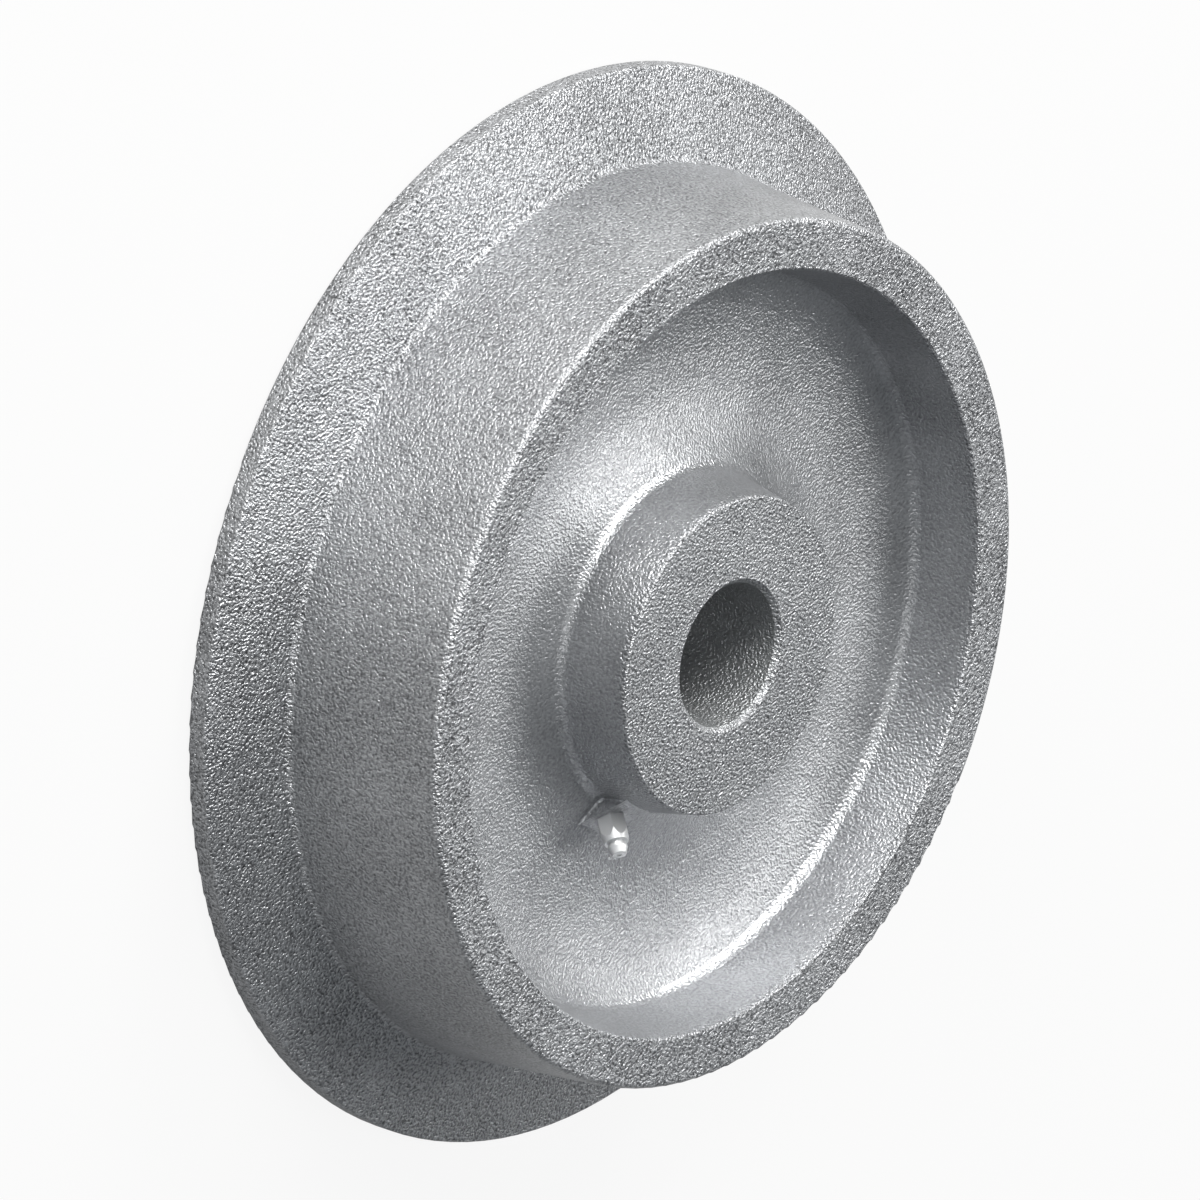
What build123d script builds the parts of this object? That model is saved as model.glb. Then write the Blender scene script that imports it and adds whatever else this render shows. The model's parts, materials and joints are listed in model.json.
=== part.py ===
"""Flanged track wheel: one grey-iron casting with a plain bore, greased through a ball nipple."""

from build123d import *
import os
from math import cos, radians, sin, sqrt, tan

# The wheel stands on its flange: +Z runs along the bore from the back face to the front,
# the origin is on the bore's axis in the back face, and +X points to the grease nipple.

# Running surface and flange
tread_r = 150.0             # tread at its front edge
tread_taper = 5.8           # degrees: the tread grows towards the flange
rim_w = 76.0                # back face to the rim's front face
flange_h = 31.0             # beyond the tread's foot
flange_tip_w = 7.7          # width of the band round the flange
flange_root_z = 16.9        # where the sloping flange face meets the tread's foot

# Hub and bore
bore_r = 25.0
hub_wall = 30.0             # at the hub's two faces, before the draft widens it
hub_proud = 0.5             # front hub face ahead of the rim

# Recesses between the hub and the rim
rim_face_w = 17.4           # tread's front edge to the recess
core_draft = 11.0           # degrees, on the hub's barrel and the rim's inner wall
web_mid_z = 37.5
web_t = 15.0
web_fillet_r = 5.0          # sharp part of the corners at the hub and at the rim
flare_angle = 28.0          # degrees: slope at which the web runs into those corners
hub_flare_r = 55.0
rim_dish_r = 90.0
rim_dish_angle = 11.0       # degrees
rim_rise_r = 40.0

# Edges
rim_edge_r = 2.2
root_fillet_r = 2.2
flange_edge_r = 1.2
bore_chamfer = 1.8
face_chamfer = 0.5          # where the turned faces of hub and rim meet the cast walls

# Pad in the corner between the hub and the web, which carries the nipple
nipple_tilt = 40.0          # degrees, from square to the bore's axis towards the front
seat_out = 9.5              # the nipple's foot, beyond the hub's face
seat_up = 9.1               # the nipple's foot, above the web
pad_w = 14.0
pad_fillet_r = 0.8          # where the pad's flanks leave the casting

# Tapped hole and grease channel
thread_r = 4.0              # M8 x 1, drawn plain at its nominal size
thread_depth = 8.5
thread_chamfer = 0.3
thread_chamfer_angle = 45.0
channel_r = 2.5
channel_overrun = 4.0       # past the bore's wall, into the open bore

# Nipple, along its own axis from the pad's face outwards
hex_af = 9.0
hex_sides = 6
hex_flat_h = 5.2            # to where the bevel first cuts the hexagon's corners
hex_h = 9.1                 # to the neck
shank_l = 6.0
thread_gap = 0.05           # radial, between the drawn shank and the drawn hole
neck_r = 2.5
neck_l = 0.7
head_r = 3.4
head_shoulder_l = 0.4
head_land_l = 1.0
head_tip_r = 2.4
head_tip_edge_r = 0.4
nipple_h = 13.7             # pad's face to the nipple's tip
bevel_angle = 15.5          # degrees from the axis: the cone that bevels the hexagon's nose
shank_chamfer = 0.5

# Ball valve in the nipple
ball_r = 1.25
chamber_r = 1.5
mouth_r = 0.8               # opening in the tip
lip_t = 0.4                 # wall round that opening
seat_gap = 0.02             # ball to its cone
crimp_r = 0.9               # opening at the inner end, which holds the spring
crimp_t = 0.6
wire_r = 0.15
wire_sides = 6              # the wire is drawn as a prism with this many sides
spring_r = 1.1              # to the middle of the wire
spring_turns = 6
spring_gap = 0.02           # at both ends

pick_slack = 0.01           # when an edge is chosen by its place

# Sizes that follow from those above
root_r = tread_r + (rim_w - flange_root_z) * tan(radians(tread_taper))
flange_r = root_r + flange_h
rim_inner_r = tread_r - rim_face_w
hub_r = bore_r + hub_wall
hub_z = rim_w + hub_proud
web_front_z = web_mid_z + web_t / 2
web_back_z = web_mid_z - web_t / 2
seat_r = hub_r + seat_out
seat_z = web_front_z + seat_up
tilt = radians(nipple_tilt)
pad_top_z = seat_z + seat_out / tan(tilt)
pad_foot_r = seat_r + (seat_z - web_mid_z) * tan(tilt)
channel_l = (seat_r - bore_r) / cos(tilt) + channel_overrun
bevel_r = hex_af / 2 / cos(radians(180 / hex_sides))
bevel_top_r = bevel_r - (hex_h - hex_flat_h) * tan(radians(bevel_angle))
neck_end = hex_h + neck_l
land_start = neck_end + head_shoulder_l
land_end = land_start + head_land_l
cone_apex = mouth_r + nipple_h - lip_t
ball_s = cone_apex - (ball_r + seat_gap) * sqrt(2)
ring_drop = sqrt((ball_r + wire_r + spring_gap) ** 2 - spring_r ** 2)
spring_start = -shank_l + crimp_t + wire_r + spring_gap
spring_l = ball_s - ring_drop - spring_start

# Planes and axis of the nipple: square to it in the pad's face, and lengthwise through it
seat = Vector(seat_r, 0, seat_z)
outward = Vector(cos(tilt), 0, sin(tilt))
uphill = Vector(-sin(tilt), 0, cos(tilt))
pad_face = Plane(origin=seat, x_dir=uphill, z_dir=outward)
nipple_section = Plane(origin=seat, x_dir=uphill, z_dir=(0, 1, 0))
nipple_axis = Axis(seat, outward)


def recess(hub_face_z, rim_face_z, web_z, up):
    """Section of one recess from the hub's face to the rim's face; up is 1 in front and -1 behind."""
    draft = radians(core_draft)
    flare = radians(flare_angle)
    dish = radians(rim_dish_angle)
    corner_h = web_fillet_r * (cos(flare) - sin(draft))
    corner_w = web_fillet_r * (cos(draft) - sin(flare))
    # The web's curves are no wider than the floor between the two drafted walls
    floor_w = rim_inner_r - hub_r - 2 * (abs(rim_face_z - web_z) * tan(draft) + corner_w)
    curves_w = hub_flare_r * sin(flare) + rim_rise_r * (sin(flare) - sin(dish)) + rim_dish_r * sin(dish)
    room = min(1, floor_w / curves_w)
    flare_r, rise_r, dish_r = hub_flare_r * room, rim_rise_r * room, rim_dish_r * room
    barrel_end_z = web_z + up * (flare_r * (1 - cos(flare)) + corner_h)
    barrel_end_r = hub_r + abs(hub_face_z - barrel_end_z) * tan(draft)
    rise_h = rise_r * (cos(dish) - cos(flare))
    rise_w = rise_r * (sin(flare) - sin(dish))
    wall_end_z = web_z + up * (dish_r * (1 - cos(dish)) + rise_h + corner_h)
    wall_end_r = rim_inner_r - abs(rim_face_z - wall_end_z) * tan(draft)
    flat_end_r = wall_end_r - corner_w - rise_w - dish_r * sin(dish)
    corner_turn = 90 - core_draft - flare_angle
    Line((hub_r, hub_face_z), (barrel_end_r, barrel_end_z))
    hub_corner = JernArc(
        (barrel_end_r, barrel_end_z), (sin(draft), -up * cos(draft)), web_fillet_r, up * corner_turn
    )
    hub_flare = JernArc(hub_corner @ 1, hub_corner % 1, flare_r, up * flare_angle)
    flat = Line(hub_flare @ 1, (flat_end_r, web_z))
    rim_dish = JernArc(flat @ 1, (1, 0), dish_r, up * rim_dish_angle)
    rim_rise = JernArc(rim_dish @ 1, rim_dish % 1, rise_r, up * (flare_angle - rim_dish_angle))
    rim_corner = JernArc(rim_rise @ 1, rim_rise % 1, web_fillet_r, up * corner_turn)
    Line(rim_corner @ 1, (rim_inner_r, rim_face_z))


def corner(x, y):
    """The vertex of the sketch in hand that lies at the given place."""
    return vertices().sort_by_distance((x, y, 0))[0]


def on_flank(edge):
    """Whether an edge lies in one of the pad's two flanks and isn't the flank's own straight edge."""
    return abs(abs(edge.center().Y) - pad_w / 2) < pick_slack and edge.geom_type != GeomType.LINE


def finish(builder, name):
    """Labels a finished piece and writes it under its own name."""
    builder.part.label = name
    export_step(builder.part, f"parts/{name}.step")


os.makedirs("parts", exist_ok=True)

# The wheel: one casting, turned on the tread, the flange and the bore
with BuildPart() as track_wheel:
    with BuildSketch(Plane.XZ):
        with BuildLine():
            recess(0, 0, web_back_z, -1)
            recess(hub_z, rim_w, web_front_z, 1)
            Polyline(
                (rim_inner_r, 0),
                (flange_r, 0),
                (flange_r, flange_tip_w),
                (root_r, flange_root_z),
                (tread_r, rim_w),
                (rim_inner_r, rim_w),
            )
            Polyline((hub_r, 0), (bore_r, 0), (bore_r, hub_z), (hub_r, hub_z))
        make_face()
        fillet(corner(tread_r, rim_w), min(rim_edge_r, rim_face_w / 3))
        fillet(corner(root_r, flange_root_z), root_fillet_r)
        fillet([corner(flange_r, 0), corner(flange_r, flange_tip_w)], flange_edge_r)
        chamfer([corner(bore_r, 0), corner(bore_r, hub_z)], bore_chamfer)
        chamfer([corner(rim_inner_r, 0), corner(rim_inner_r, rim_w)], face_chamfer)
        chamfer([corner(hub_r, 0), corner(hub_r, hub_z)], face_chamfer)
    revolve(axis=Axis.Z)

    # Pad: a wedge from the hub to the middle of the web, with its sloping face square to the nipple
    with BuildSketch(Plane.XZ):
        with BuildLine():
            Polyline(
                (hub_r, pad_top_z),
                (pad_foot_r, web_mid_z),
                (hub_r, web_mid_z),
                close=True,
            )
        make_face()
    extrude(amount=pad_w / 2, both=True)
    fillet(edges().filter_by(on_flank), pad_fillet_r)

    # Tapped hole with its countersink, and the channel that leads the grease to the bore
    with BuildSketch(pad_face):
        Circle(thread_r)
    extrude(amount=-thread_depth, mode=Mode.SUBTRACT)
    with BuildSketch(pad_face):
        Circle(thread_r + thread_chamfer)
    extrude(amount=-thread_chamfer, taper=thread_chamfer_angle, mode=Mode.SUBTRACT)
    with BuildSketch(pad_face):
        Circle(channel_r)
    extrude(amount=-channel_l, mode=Mode.SUBTRACT)

finish(track_wheel, "track_wheel")

# Nipple body: hexagon with a bevelled nose, neck, coupling head, shank, and the valve's chamber
with BuildPart() as nipple_body:
    with BuildSketch(pad_face):
        RegularPolygon(hex_af / 2, hex_sides, major_radius=False)
    extrude(amount=hex_h)
    with BuildSketch(nipple_section):
        with BuildLine():
            Polyline(
                (0, 0),
                (bevel_r, 0),
                (bevel_r, hex_flat_h),
                (bevel_top_r, hex_h),
                (0, hex_h),
                close=True,
            )
        make_face()
    revolve(axis=nipple_axis, mode=Mode.INTERSECT)
    with BuildSketch(nipple_section):
        with BuildLine():
            Polyline(
                (0, -shank_l),
                (thread_r - thread_gap, -shank_l),
                (thread_r - thread_gap, 0),
                (neck_r, 0),
                (neck_r, neck_end),
                (head_r, land_start),
                (head_r, land_end),
                (head_tip_r, nipple_h),
                (0, nipple_h),
                close=True,
            )
        make_face()
        fillet(corner(head_tip_r, nipple_h), head_tip_edge_r)
        chamfer(corner(thread_r - thread_gap, -shank_l), shank_chamfer)
    revolve(axis=nipple_axis)
    with BuildSketch(nipple_section):
        with BuildLine():
            Polyline(
                (0, -shank_l),
                (crimp_r, -shank_l),
                (crimp_r, -shank_l + crimp_t),
                (chamber_r, -shank_l + crimp_t),
                (chamber_r, cone_apex - chamber_r),
                (mouth_r, nipple_h - lip_t),
                (mouth_r, nipple_h),
                (0, nipple_h),
                close=True,
            )
        make_face()
    revolve(axis=nipple_axis, mode=Mode.SUBTRACT)

finish(nipple_body, "nipple_body")

# Ball that closes the nipple's mouth from inside
with BuildPart() as nipple_ball:
    with Locations(seat + outward * ball_s):
        Sphere(ball_r)

finish(nipple_ball, "nipple_ball")

# Coil spring that holds the ball against its cone
with BuildPart() as nipple_spring:
    with BuildLine():
        coil = Helix(
            spring_l / spring_turns,
            spring_l,
            spring_r,
            center=seat + outward * spring_start,
            direction=outward,
        )
    with BuildSketch(Plane(origin=coil @ 0, z_dir=coil % 0)):
        RegularPolygon(wire_r, wire_sides)
    sweep(is_frenet=True)

finish(nipple_spring, "nipple_spring")
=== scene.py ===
# %% [markdown]
# # A flanged track wheel
# The wheel is a grey-iron casting with a coned tread, a flange and a plain bore, and with a
# grease nipple on a pad beside the hub. Its exact solids come from the imported model and stay
# as they are. What Blender adds is what a drawing can't give: the skin that the sand leaves on
# iron, the plating on the nipple, a spring of its own, a camera and a studio.

# %% The imported model
import bpy
import json
from math import cos, radians, sin
from mathutils import Matrix, Vector


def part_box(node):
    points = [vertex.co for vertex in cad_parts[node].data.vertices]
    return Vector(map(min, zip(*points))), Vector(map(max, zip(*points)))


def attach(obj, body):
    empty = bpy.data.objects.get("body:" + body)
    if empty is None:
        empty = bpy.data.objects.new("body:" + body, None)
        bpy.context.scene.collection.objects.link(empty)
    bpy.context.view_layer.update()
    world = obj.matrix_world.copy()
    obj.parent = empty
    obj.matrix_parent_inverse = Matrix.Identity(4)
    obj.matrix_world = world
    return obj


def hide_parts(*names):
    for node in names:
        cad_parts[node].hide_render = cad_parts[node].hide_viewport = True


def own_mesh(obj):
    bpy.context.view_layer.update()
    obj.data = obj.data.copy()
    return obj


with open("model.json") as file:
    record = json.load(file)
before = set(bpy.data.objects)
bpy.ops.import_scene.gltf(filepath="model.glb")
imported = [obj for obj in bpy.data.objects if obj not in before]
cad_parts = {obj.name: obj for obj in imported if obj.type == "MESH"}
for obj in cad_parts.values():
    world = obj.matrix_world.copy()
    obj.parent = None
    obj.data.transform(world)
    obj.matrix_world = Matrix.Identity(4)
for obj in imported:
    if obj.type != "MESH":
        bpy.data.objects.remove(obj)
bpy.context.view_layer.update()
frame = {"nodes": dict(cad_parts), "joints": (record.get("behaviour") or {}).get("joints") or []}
nodes = frame["nodes"]
for name in sorted(nodes):
    low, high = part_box(name)
    size = [round(1000 * s, 1) for s in high - low]
    print(name, "is", size, "mm with", len(nodes[name].data.polygons), "faces")

# %% [markdown]
# ## The camera
# The wheel lies on its flanged back face, as it would on a bench, and the camera looks down on
# it from a quarter turn round from the nipple. The view is taken with a very long lens from far
# away, which keeps the circles nearly parallel, and it is rolled, so that the wheel seems to
# stand. A camera that is described by azimuth, elevation, roll and distance from one point is
# easier to correct than a matrix, so the matrix is worked out from those. The lamps are placed
# by azimuth and elevation too, so a small function turns the two angles into a direction.

# %% The way from the wheel to a camera or a lamp
def towards(azimuth, elevation):
    """A unit vector, from degrees round from +X and degrees above the floor."""
    round_z, above_floor = radians(azimuth), radians(elevation)
    level = cos(above_floor)
    return Vector((level * cos(round_z), level * sin(round_z), sin(above_floor)))


# %% The camera
view_azimuth = -83.95       # degrees
view_elevation = 36.95
view_roll = 107.40
view_distance = 4.879       # metres
view_target = Vector((-0.0019, -0.0280, 0.0380))
sensor_mm = 36.0
lens_mm = 437.8
clip_end = 100.0            # metres, past the floor's far edge

backwards = towards(view_azimuth, view_elevation)
level_right = towards(view_azimuth + 90.0, 0.0)
level_up = backwards.cross(level_right)
across, along = cos(radians(view_roll)), sin(radians(view_roll))
right = across * level_right + along * level_up
up = across * level_up - along * level_right

camera_data = bpy.data.cameras.new("camera")
camera_data.sensor_width = sensor_mm
camera_data.sensor_fit = "HORIZONTAL"
camera_data.lens = lens_mm
camera_data.clip_end = clip_end
camera = bpy.data.objects.new("camera", camera_data)
turn = Matrix((right, up, backwards)).transposed().to_4x4()
camera.matrix_world = Matrix.Translation(view_target + view_distance * backwards) @ turn
bpy.context.scene.collection.objects.link(camera)
bpy.context.scene.camera = camera
bpy.context.scene.view_settings.view_transform = "Standard"
print("camera at", [round(c, 3) for c in camera.matrix_world.translation])

# %% [markdown]
# ## Shader sums written as Python
# A material is a formula of the place on the surface. Wiring that formula by hand takes a line
# for every node, so one small class stands for a node's output and lets it be added, taken
# away and multiplied like a number. Every other node comes from its one method, which sets the
# node up first and then fills its sockets.

# %% A socket that can be used in a sum
class Wire:
    """The output of a node, or an empty start in a material's tree."""

    def __init__(self, tree, socket=None):
        self.tree, self.socket = tree, socket

    def node(self, kind, settings=None, sockets=None, output=0):
        made = self.tree.nodes.new("ShaderNode" + kind)
        for key, value in (settings or {}).items():
            setattr(made, key, value)
        for key, value in (sockets or {}).items():
            if isinstance(value, Wire):
                self.tree.links.new(value.socket, made.inputs[key])
            else:
                made.inputs[key].default_value = value
        return Wire(self.tree, made.outputs[output] if made.outputs else None)

    def math(self, operation, *values):
        return self.node("Math", {"operation": operation}, dict(enumerate(values)))

    def __add__(self, other):
        return self.math("ADD", self, other)

    def __radd__(self, other):
        return self.math("ADD", other, self)

    def __sub__(self, other):
        return self.math("SUBTRACT", self, other)

    def __rsub__(self, other):
        return self.math("SUBTRACT", other, self)

    def __mul__(self, other):
        return self.math("MULTIPLY", self, other)

    def __rmul__(self, other):
        return self.math("MULTIPLY", other, self)

    def ramp(self, low, high):
        """Runs smoothly from 0 to 1 while this value runs from low to high."""
        sockets = {"Value": self, "From Min": low, "From Max": high}
        return self.node("MapRange", {"interpolation_type": "SMOOTHSTEP"}, sockets)

    def mix(self, first, second):
        """The first colour where this value is 0, the second where it is 1."""
        share_socket, first_socket, second_socket, colour_output = 0, 6, 7, 2
        sockets = {share_socket: self, first_socket: first, second_socket: second}
        return self.node("Mix", {"data_type": "RGBA"}, sockets, colour_output)

    def noise(self, place, **sockets):
        """A noise that fills the metal's whole volume, so that it has no seam."""
        return self.node("TexNoise", {}, {"Vector": place, **sockets})


def new_finish(name):
    """An empty material, its Principled shader, and a Wire to start from."""
    material = bpy.data.materials.new(name)
    material.use_nodes = True
    shader = material.node_tree.nodes["Principled BSDF"]
    return material, shader, Wire(material.node_tree)


def feed(shader, socket, wire):
    shader.id_data.links.new(wire.socket, shader.inputs[socket])


# %% [markdown]
# ## Cast iron
# Iron takes the print of the sand that it is poured into, so its skin is a fine orange peel:
# beads about a millimetre across, run together into short worms, with finer grit on them. It
# shows most where light grazes the surface. Sculpting it would take millions of faces, and no
# shape depends on it, so it is a bump. Two noises make it. The first is stretched out of its
# own pattern by a distortion, which joins the beads, and the second is the grit. The same
# height is also painted into the colour, darker in the hollows and lighter on the crests, as
# painted shade and painted highlight on the beads, and a third, slow noise gives the tone
# its clouds.
#
# The skin isn't the same all over. The recess and the tread are smoother, as places are that
# get a finer sand or a rub-down, and the bore is painted one even grey, as painted shade
# inside it.
# Each of these places is told apart by its radius and height. That is safer than painting it
# by hand, because it follows the solid exactly.

# %% The limits of each skin
hub_face_r = 0.0553         # metres, just outside the hub's face
rim_face_r = 0.1323         # just inside the rim's face
tread_r = 0.1495
tread_foot_z = 0.0185
face_z = 0.0757             # just under the front faces
# The bore's painted shade reaches this radius.
painted_bore_shade_r = 0.0255          # the bore and half a millimetre
edge_blend = 0.0006         # half the run from one skin to the next
recess_relief = 0.34        # share of the full relief
tread_relief = 0.7


def above(value, limit):
    """1 where the value is over the limit, 0 below, with a short run between."""
    return value.ramp(limit - edge_blend, limit + edge_blend)


def below(value, limit):
    return 1 - above(value, limit)


# %% Where each skin lies
cast_iron, iron_shader, start = new_finish("cast_iron_skin")
place = start.node("TexCoord", output="Object")
x, y, z = (start.node("SeparateXYZ", {}, {0: place}, output=axis) for axis in "XYZ")
radius = start.math("SQRT", x * x + y * y)
recess = above(radius, hub_face_r) * below(radius, rim_face_r) * below(z, face_z)
tread = above(radius, tread_r) * above(z, tread_foot_z)
relief = 1 - recess * (1 - recess_relief) - tread * (1 - tread_relief)
# The bore is masked for its even painted shade.
painted_bore_shade = below(radius, painted_bore_shade_r)
in_mm = [round(1000 * r, 1) for r in (hub_face_r, rim_face_r, tread_r)]
print("recess from", in_mm[0], "to", in_mm[1], "mm off the axis, tread from", in_mm[2])

# %% Beads, grit and clouds
bead_scale = 1060.0         # beads to a metre, roughly
bead_detail = 1.0           # layers of finer noise on a noise
bead_softness = 0.4         # of the finer beads on the beads
bead_distortion = 0.15
grit_scale = 2700.0
grit_detail = 2.0
grit_share = 0.15
cloud_scale = 22.0          # slow changes of tone over the casting
cloud_detail = 3.0
middle = 0.5                # of a noise that runs from 0 to 1

beads = start.noise(
    place,
    Scale=bead_scale,
    Detail=bead_detail,
    Roughness=bead_softness,
    Distortion=bead_distortion,
)
grit = start.noise(place, Scale=grit_scale, Detail=grit_detail)
clouds = start.noise(place, Scale=cloud_scale, Detail=cloud_detail)
height = (beads * (1 - grit_share) + grit * grit_share - middle) * relief
bead_mm, grit_mm = round(1000 / bead_scale, 1), round(1000 / grit_scale, 1)
print("beads are about", bead_mm, "mm across and the grit", grit_mm)

# %% Cast iron
bead_depth = 0.0014         # metres, if the noise ran its whole way
# The dark end takes the painted shade of the hollows and the light end the painted highlight of
# the crests.
iron_dark = (0.05, 0.052, 0.056, 1.0)
iron_light = (0.47, 0.48, 0.5, 1.0)
# Painted shade: one even grey painted into the bore.
painted_bore_shade_colour = (0.33, 0.34, 0.35, 1.0)
even_tone = 0.6             # 0 is dark, 1 is light
# Painted shade and highlight: how far the bead height darkens the hollows and lightens the
# crests.
painted_bead_shading = 2.8           # how much a hollow darkens
cloud_tone = 0.2
cloud_edges = (0.3, 0.7)    # of the cloud noise, from clear to full cloud
iron_roughness = 0.32
recess_polish = 0.04
cloud_roughness = 0.08
iron_metallic = 0.75
iron_ior = 2.0

# The colour is painted darker in the beads' hollows and lighter on their crests, as painted shade
# and highlight, and the clouds vary the tone at random.
tone = even_tone + height * painted_bead_shading + clouds.ramp(*cloud_edges) * cloud_tone
# In the bore, the even grey of painted shade takes the place of the tone.
iron_colour = painted_bore_shade.mix(tone.mix(iron_dark, iron_light), painted_bore_shade_colour)
iron_bump = start.node("Bump", {}, {"Strength": 1.0, "Distance": bead_depth, "Height": height})
feed(iron_shader, "Base Color", iron_colour)
feed(iron_shader, "Normal", iron_bump)
feed(iron_shader, "Roughness", iron_roughness - recess * recess_polish + clouds * cloud_roughness)
iron_shader.inputs["Metallic"].default_value = iron_metallic
iron_shader.inputs["IOR"].default_value = iron_ior
nodes["track_wheel"].material_slots[0].material = cast_iron
print("cast iron has", len(cast_iron.node_tree.nodes), "nodes")

# %% [markdown]
# ## Zinc plate on the nipple
# A grease nipple is turned from free-cutting steel and plated with zinc. It is the one smooth
# thing on the wheel, and its facets come from the solid. Plating that has been handled is a
# little dull, so that each facet shows some grey of its own beside what it mirrors. A full
# metal would go black wherever it mirrors nothing, so the shader is part metal, with middling
# roughness that changes faintly from place to place.

# %% Zinc plate
zinc_colour = (0.68, 0.69, 0.7, 1.0)
zinc_metallic = 0.7
zinc_roughness = 0.4
smear_scale = 900.0
smear_detail = 3.0
smear_roughness = 0.08
plated = ("nipple_body", "nipple_ball", "nipple_spring")

zinc, zinc_shader, start = new_finish("zinc_plate")
place = start.node("TexCoord", output="Object")
smears = start.noise(place, Scale=smear_scale, Detail=smear_detail)
zinc_shader.inputs["Base Color"].default_value = zinc_colour
zinc_shader.inputs["Metallic"].default_value = zinc_metallic
feed(zinc_shader, "Roughness", zinc_roughness + smears * smear_roughness)
for name in plated:
    nodes[name].material_slots[0].material = zinc
print("zinc plate is on", ", ".join(plated))

# %% [markdown]
# ## The spring behind the ball
# A coil of wire holds the nipple's ball against its cone. When a grease gun pushes the ball in,
# the coil gets shorter by as much, which no rigid piece can do. Shape keys or a lattice could
# press it. The coil here is a copy of the imported one, so it stands exactly in its place, and
# it is hung on the wheel. The share of its length that it would keep, pressed a hair further
# than the ball travels so that the two stay clear, is worked out and printed.

# %% The spring behind the ball
press_share = 1.04          # of the ball's travel

valve = next(joint for joint in frame["joints"] if joint["name"] == "ball_valve")
inwards = Vector(valve["axis"]).normalized()
travel = max(valve["range_m"])
spring = bpy.data.objects.new("valve_spring", nodes["nipple_spring"].data.copy())
bpy.context.scene.collection.objects.link(spring)
depths = [inwards.dot(vertex.co) for vertex in spring.data.vertices]
coil_length = max(depths) - min(depths)
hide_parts("nipple_spring")
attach(spring, "wheel")
keep = 1 - press_share * travel / coil_length
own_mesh(spring)
print("the coil is", round(1000 * coil_length, 2), "mm long and keeps", round(keep, 3), "of that")

# %% [markdown]
# ## The floor
# A studio sets such a wheel on white paper. Paper that is lit until it looks white would throw
# its light back on the iron from below, and the shadow side would lose its form. So the floor
# is grey paint, and most of what the camera sees of it is a plain white that no lamp changes
# and that lights nothing. The rest is the lit paint, which keeps the wheel's shadow. A little
# of the same white shows where metal mirrors the floor.

# %% The floor
floor_half = 14.0           # metres
floor_drop = 0.0003         # under the wheel, so that the two faces don't flicker
sides = ((-1, -1), (1, -1), (1, 1), (-1, 1))
corners = [(x * floor_half, y * floor_half, -floor_drop) for x, y in sides]

floor_mesh = bpy.data.meshes.new("floor")
floor_mesh.from_pydata(corners, [], [(0, 1, 2, 3)])
floor = bpy.data.objects.new("floor", floor_mesh)
bpy.context.scene.collection.objects.link(floor)
print("floor is", 2 * floor_half, "m wide")

# %% The floor's paint
seen_white = 0.9            # share of what the camera sees of the floor
mirrored_white = 0.15       # share of what metal mirrors of it
paint_colour = (0.45, 0.45, 0.45, 1.0)
white_colour = (1.0, 1.0, 1.0, 1.0)


def emptied(owner):
    """Switches the owner's nodes on, clears them, and gives a Wire to start from."""
    owner.use_nodes = True
    owner.node_tree.nodes.clear()
    return Wire(owner.node_tree)


floor_paint = bpy.data.materials.new("floor_paint")
start = emptied(floor_paint)
paint = start.node("BsdfDiffuse", {}, {"Color": paint_colour})
white = start.node("Emission", {}, {"Color": white_colour, "Strength": 1.0})
seen = start.node("LightPath", output="Is Camera Ray")
through_glass = start.node("LightPath", output="Is Transmission Ray")
mirrored = start.node("LightPath", output="Is Glossy Ray")
share = start.math("MAXIMUM", seen, through_glass) * seen_white + mirrored * mirrored_white
mixed = start.node("MixShader", {}, {0: share, 1: paint, 2: white})
start.node("OutputMaterial", {}, {"Surface": mixed})
floor_mesh.materials.append(floor_paint)
print("the floor's paint has", len(floor_paint.node_tree.nodes), "nodes")

# %% [markdown]
# ## Room and lamps
# Bare iron shows its form by what it mirrors, so the lamps are placed by what each shape sends
# back to the camera. Three large ones on the left and in front light the tread and the hub,
# and graze the flat faces. A high one fills the hollow of the web, one behind catches the
# flange's slope, and a weak one beside the camera draws the line round the hub's root. The
# room gives a dim, cool light from everywhere, where the lamps are faintly warm. One bright
# sky would be simpler, but it would flatten the beads.

# %% The room
room_colour = (0.92, 0.96, 1.0, 1.0)
room_strength = 0.24

world = bpy.data.worlds.new("studio")
bpy.context.scene.world = world
start = emptied(world)
room = start.node("Background", {}, {"Color": room_colour, "Strength": room_strength})
start.node("OutputWorld", {}, {"Surface": room})
print("the room gives", room_strength, "of full light")

# %% The lamps
lamp_colour = (1.0, 0.99, 0.965)
lamp_distance = 2.5
lamp_target = Vector((0.0, 0.0, 0.04))
lamps = {                   # degrees round, degrees up, metres wide, watts
    "left": (180.0, 32.0, 0.8, 49.0),
    "front": (-142.0, 34.0, 0.8, 44.0),
    "low": (-120.0, 15.0, 0.8, 40.0),
    "high": (164.0, 56.0, 0.9, 11.0),
    "back": (120.0, 54.0, 0.8, 16.0),
    "camera_side": (-61.0, 42.0, 0.6, 6.0),
}

for name, (azimuth, elevation, width, watts) in lamps.items():
    data = bpy.data.lights.new(name, "AREA")
    data.shape = "SQUARE"
    data.size = width
    data.energy = watts
    data.color = lamp_colour
    lamp = bpy.data.objects.new(name, data)
    way = towards(azimuth, elevation)
    lamp.location = lamp_target + way * lamp_distance
    lamp.rotation_euler = way.to_track_quat("Z", "Y").to_euler()
    bpy.context.scene.collection.objects.link(lamp)
print(len(lamps), "lamps with", sum(row[-1] for row in lamps.values()), "W in all")
